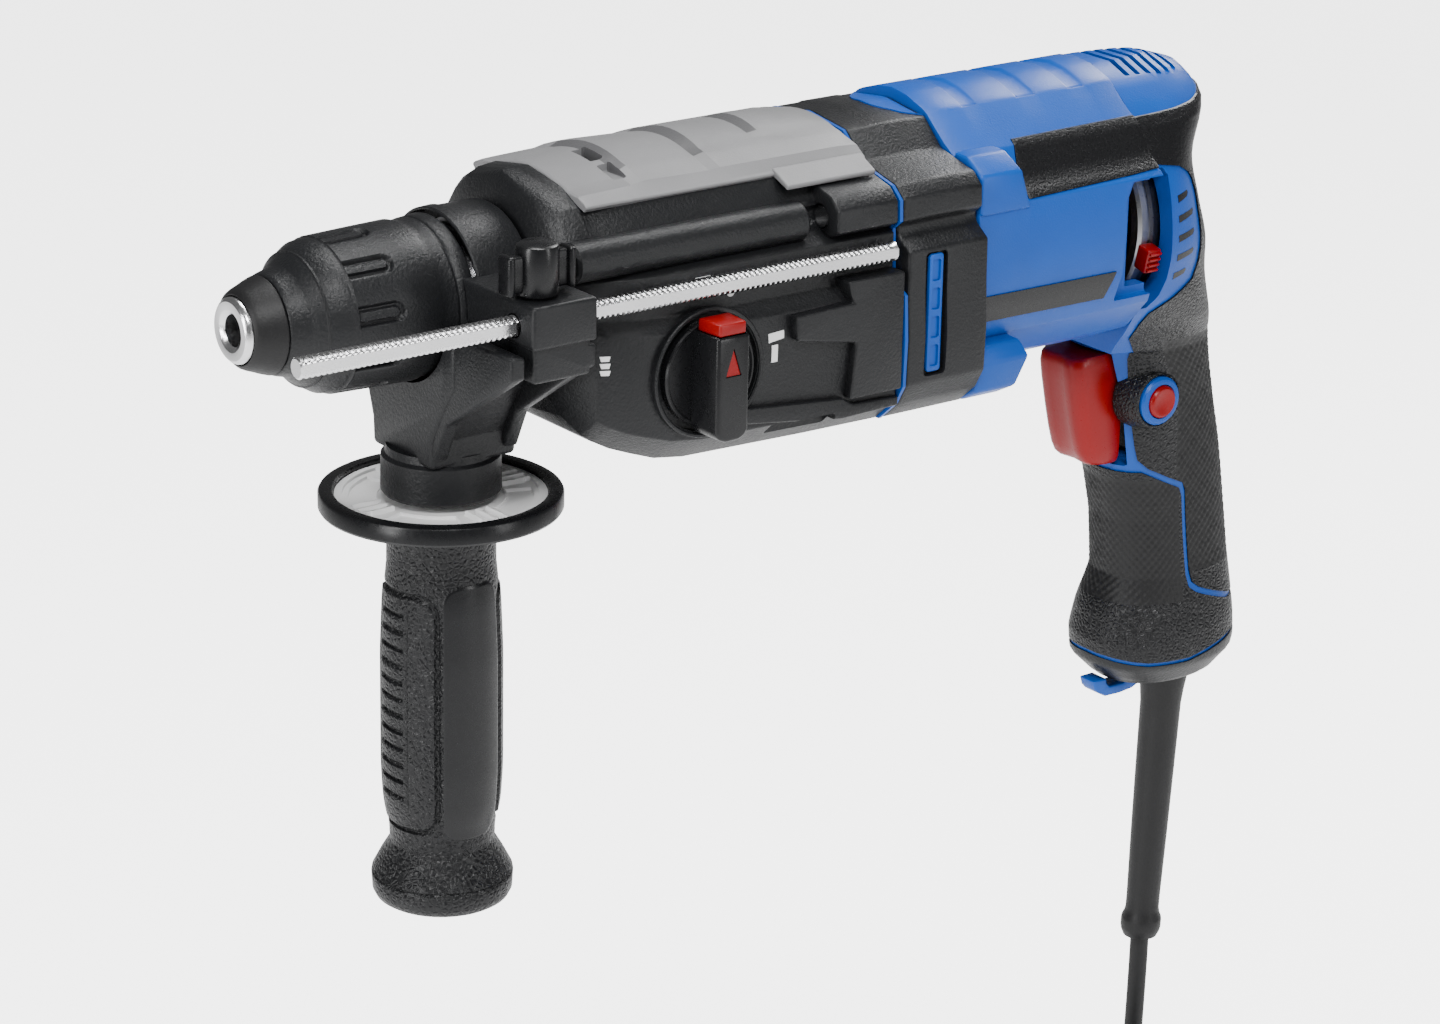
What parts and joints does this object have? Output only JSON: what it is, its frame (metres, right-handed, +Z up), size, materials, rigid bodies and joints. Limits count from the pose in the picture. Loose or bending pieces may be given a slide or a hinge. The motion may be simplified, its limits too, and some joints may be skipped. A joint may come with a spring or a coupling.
{
  "type": "rotary hammer drill",
  "caption": "Pistol-grip mains rotary hammer with a bit chuck, a side handle with a depth rod, a mode dial, a trigger and a corded rear grip; the cord hangs in a tied hank.",
  "frame": {"origin": "middle of the main grip, 388 mm behind the chuck's front face and 125 mm below the spindle's axis", "axes": "+X from the chuck to the rear along the spindle, +Z up, -Y towards the side with the mode dial"},
  "size_m": [0.4285, 0.1184, 0.5983],
  "materials": {
    "black_plastic": "fine grained, satin",
    "grey_plastic": "satin",
    "blue_plastic": "satin",
    "red_plastic": "satin",
    "white_plastic": "satin",
    "rubber": "leather grained and matt",
    "hardened_steel": "ground",
    "bright_steel": "bright drawn",
    "bearing_steel": "polished",
    "copper": "bare",
    "aluminium": "as cast",
    "carbon": "matt"
  },
  "bodies": {
    "root": {"gear_housing": "black_plastic", "top_cover": "grey_plastic", "spindle_front_bearing": "bearing_steel", "spindle_bracket": "aluminium", "gear_carrier": "aluminium", "layshaft_rear_bearing": "bearing_steel", "gasket": "blue_plastic", "mid_flange": "black_plastic", "vent_insert_left": "blue_plastic", "vent_insert_right": "blue_plastic", "housing_screw_left": "bright_steel", "housing_screw_right": "bright_steel", "motor_housing": "blue_plastic", "stator_core": "hardened_steel", "field_winding": "copper", "armature_front_bearing": "bearing_steel", "armature_rear_bearing": "bearing_steel", "handle_shell_left": "blue_plastic", "handle_shell_right": "blue_plastic", "grip_rubber": "rubber", "switch_module": "black_plastic", "hanging_hook": "blue_plastic", "strain_relief": "rubber", "cord_tube": "rubber", "cord_hank": "rubber", "cord_tie": "black_plastic", "mains_plug": "rubber"},
    "armature": {"armature_shaft": "hardened_steel", "armature_core": "hardened_steel", "commutator": "copper", "cooling_fan": "black_plastic"},
    "layshaft": {"layshaft": "hardened_steel", "layshaft_gear": "hardened_steel"},
    "spindle": {"tool_holder": "hardened_steel", "dust_cap": "rubber", "spindle_gear": "hardened_steel", "locking_ball": "bearing_steel"},
    "chuck_sleeve": {"chuck_sleeve": "black_plastic", "lock_ring": "hardened_steel", "sleeve_spring": "bright_steel"},
    "impact_bolt": {"impact_bolt": "hardened_steel"},
    "striker": {"striker": "hardened_steel"},
    "piston": {"piston": "aluminium"},
    "wobble": {"wobble_ring": "hardened_steel"},
    "brush_carrier": {"brush_ring": "grey_plastic", "carbon_brush_left": "carbon", "carbon_brush_right": "carbon"},
    "mode_knob": {"mode_knob": "black_plastic"},
    "mode_button": {"mode_button": "red_plastic"},
    "trigger": {"trigger": "red_plastic"},
    "lock_button": {"lock_button": "red_plastic"},
    "side_handle": {"handle_bracket": "black_plastic", "clamp_band": "hardened_steel"},
    "side_grip": {"side_grip": "rubber", "grip_core": "black_plastic", "guard_disc": "white_plastic", "guard_rim": "rubber"},
    "tension_bolt": {"tension_bolt": "bright_steel"},
    "depth_rod": {"depth_rod": "bright_steel"},
    "wing_screw": {"rod_wing_screw": "black_plastic"}
  },
  "joints": [
    {"name": "armature_spin", "type": "hinge", "parent": "root", "child": "armature", "pos_m": [-0.098, 0, 0.111], "axis": [1, 0, 0], "continuous": true},
    {"name": "layshaft_spin", "type": "hinge", "parent": "root", "child": "layshaft", "pos_m": [-0.218, 0, 0.092], "axis": [1, 0, 0], "continuous": true},
    {"name": "spindle_spin", "type": "hinge", "parent": "root", "child": "spindle", "pos_m": [-0.388, 0, 0.125], "axis": [1, 0, 0], "continuous": true},
    {"name": "sleeve_slide", "type": "slide", "parent": "spindle", "child": "chuck_sleeve", "axis": [1, 0, 0], "range_m": [0, 0.005], "stiffness_N_per_m": 400, "springref_m": -0.004, "deforming": ["sleeve_spring"]},
    {"name": "impact_bolt_slide", "type": "slide", "parent": "spindle", "child": "impact_bolt", "axis": [1, 0, 0], "range_m": [-0.003, 0.003]},
    {"name": "striker_slide", "type": "slide", "parent": "spindle", "child": "striker", "axis": [1, 0, 0], "range_m": [-0.0035, 0.005]},
    {"name": "wobble_swing", "type": "hinge", "parent": "root", "child": "wobble", "pos_m": [-0.21, 0, 0.092], "axis": [0, 1, 0], "range_deg": [-12, 12]},
    {"name": "piston_slide", "type": "slide", "parent": "root", "child": "piston", "axis": [1, 0, 0], "range_m": [-0.007, 0.007]},
    {"name": "brush_shift", "type": "hinge", "parent": "root", "child": "brush_carrier", "pos_m": [-0.043, 0, 0.111], "axis": [-1, 0, 0], "range_deg": [0, 34]},
    {"name": "mode_knob_turn", "type": "hinge", "parent": "root", "child": "mode_knob", "pos_m": [-0.244, -0.05, 0.1], "axis": [0, -1, 0], "range_deg": [-90, 90]},
    {"name": "mode_button_slide", "type": "slide", "parent": "mode_knob", "child": "mode_button", "axis": [0, 0, -1], "range_m": [0, 0.002], "stiffness_N_per_m": 400, "springref_m": -0.002},
    {"name": "trigger_slide", "type": "slide", "parent": "root", "child": "trigger", "axis": [1, 0, 0], "range_m": [0, 0.006], "stiffness_N_per_m": 900, "springref_m": -0.003},
    {"name": "lock_button_slide", "type": "slide", "parent": "root", "child": "lock_button", "axis": [0, 1, 0], "range_m": [0, 0.0025], "stiffness_N_per_m": 400, "springref_m": -0.002},
    {"name": "handle_swing", "type": "hinge", "parent": "root", "child": "side_handle", "pos_m": [-0.301, 0, 0.125], "axis": [1, 0, 0], "range_deg": [-2, 3]},
    {"name": "side_grip_turn", "type": "hinge", "parent": "side_handle", "child": "side_grip", "pos_m": [-0.3117, 0, -0.005], "axis": [0, 0, 1], "range_deg": [0, 720]},
    {"name": "tension_bolt_slide", "type": "slide", "parent": "side_handle", "child": "tension_bolt", "axis": [0, 0, -1], "range_m": [0, 0.0025]},
    {"name": "depth_rod_slide", "type": "slide", "parent": "side_handle", "child": "depth_rod", "axis": [-1, 0, 0], "range_m": [0, 0.115]},
    {"name": "wing_screw_turn", "type": "hinge", "parent": "side_handle", "child": "wing_screw", "pos_m": [-0.3105, -0.0515, 0.141], "axis": [0, 0, 1], "range_deg": [0, 360]}
  ],
  "couplings": [
    {"joint": "layshaft_spin", "follows": "armature_spin", "ratio": -0.23529},
    {"joint": "spindle_spin", "follows": "armature_spin", "ratio": 0.057516},
    {"joint": "piston_slide", "follows": "wobble_swing", "m_per_rad": 0.033},
    {"joint": "tension_bolt_slide", "follows": "side_grip_turn", "m_per_rad": 0.00019894}
  ]
}
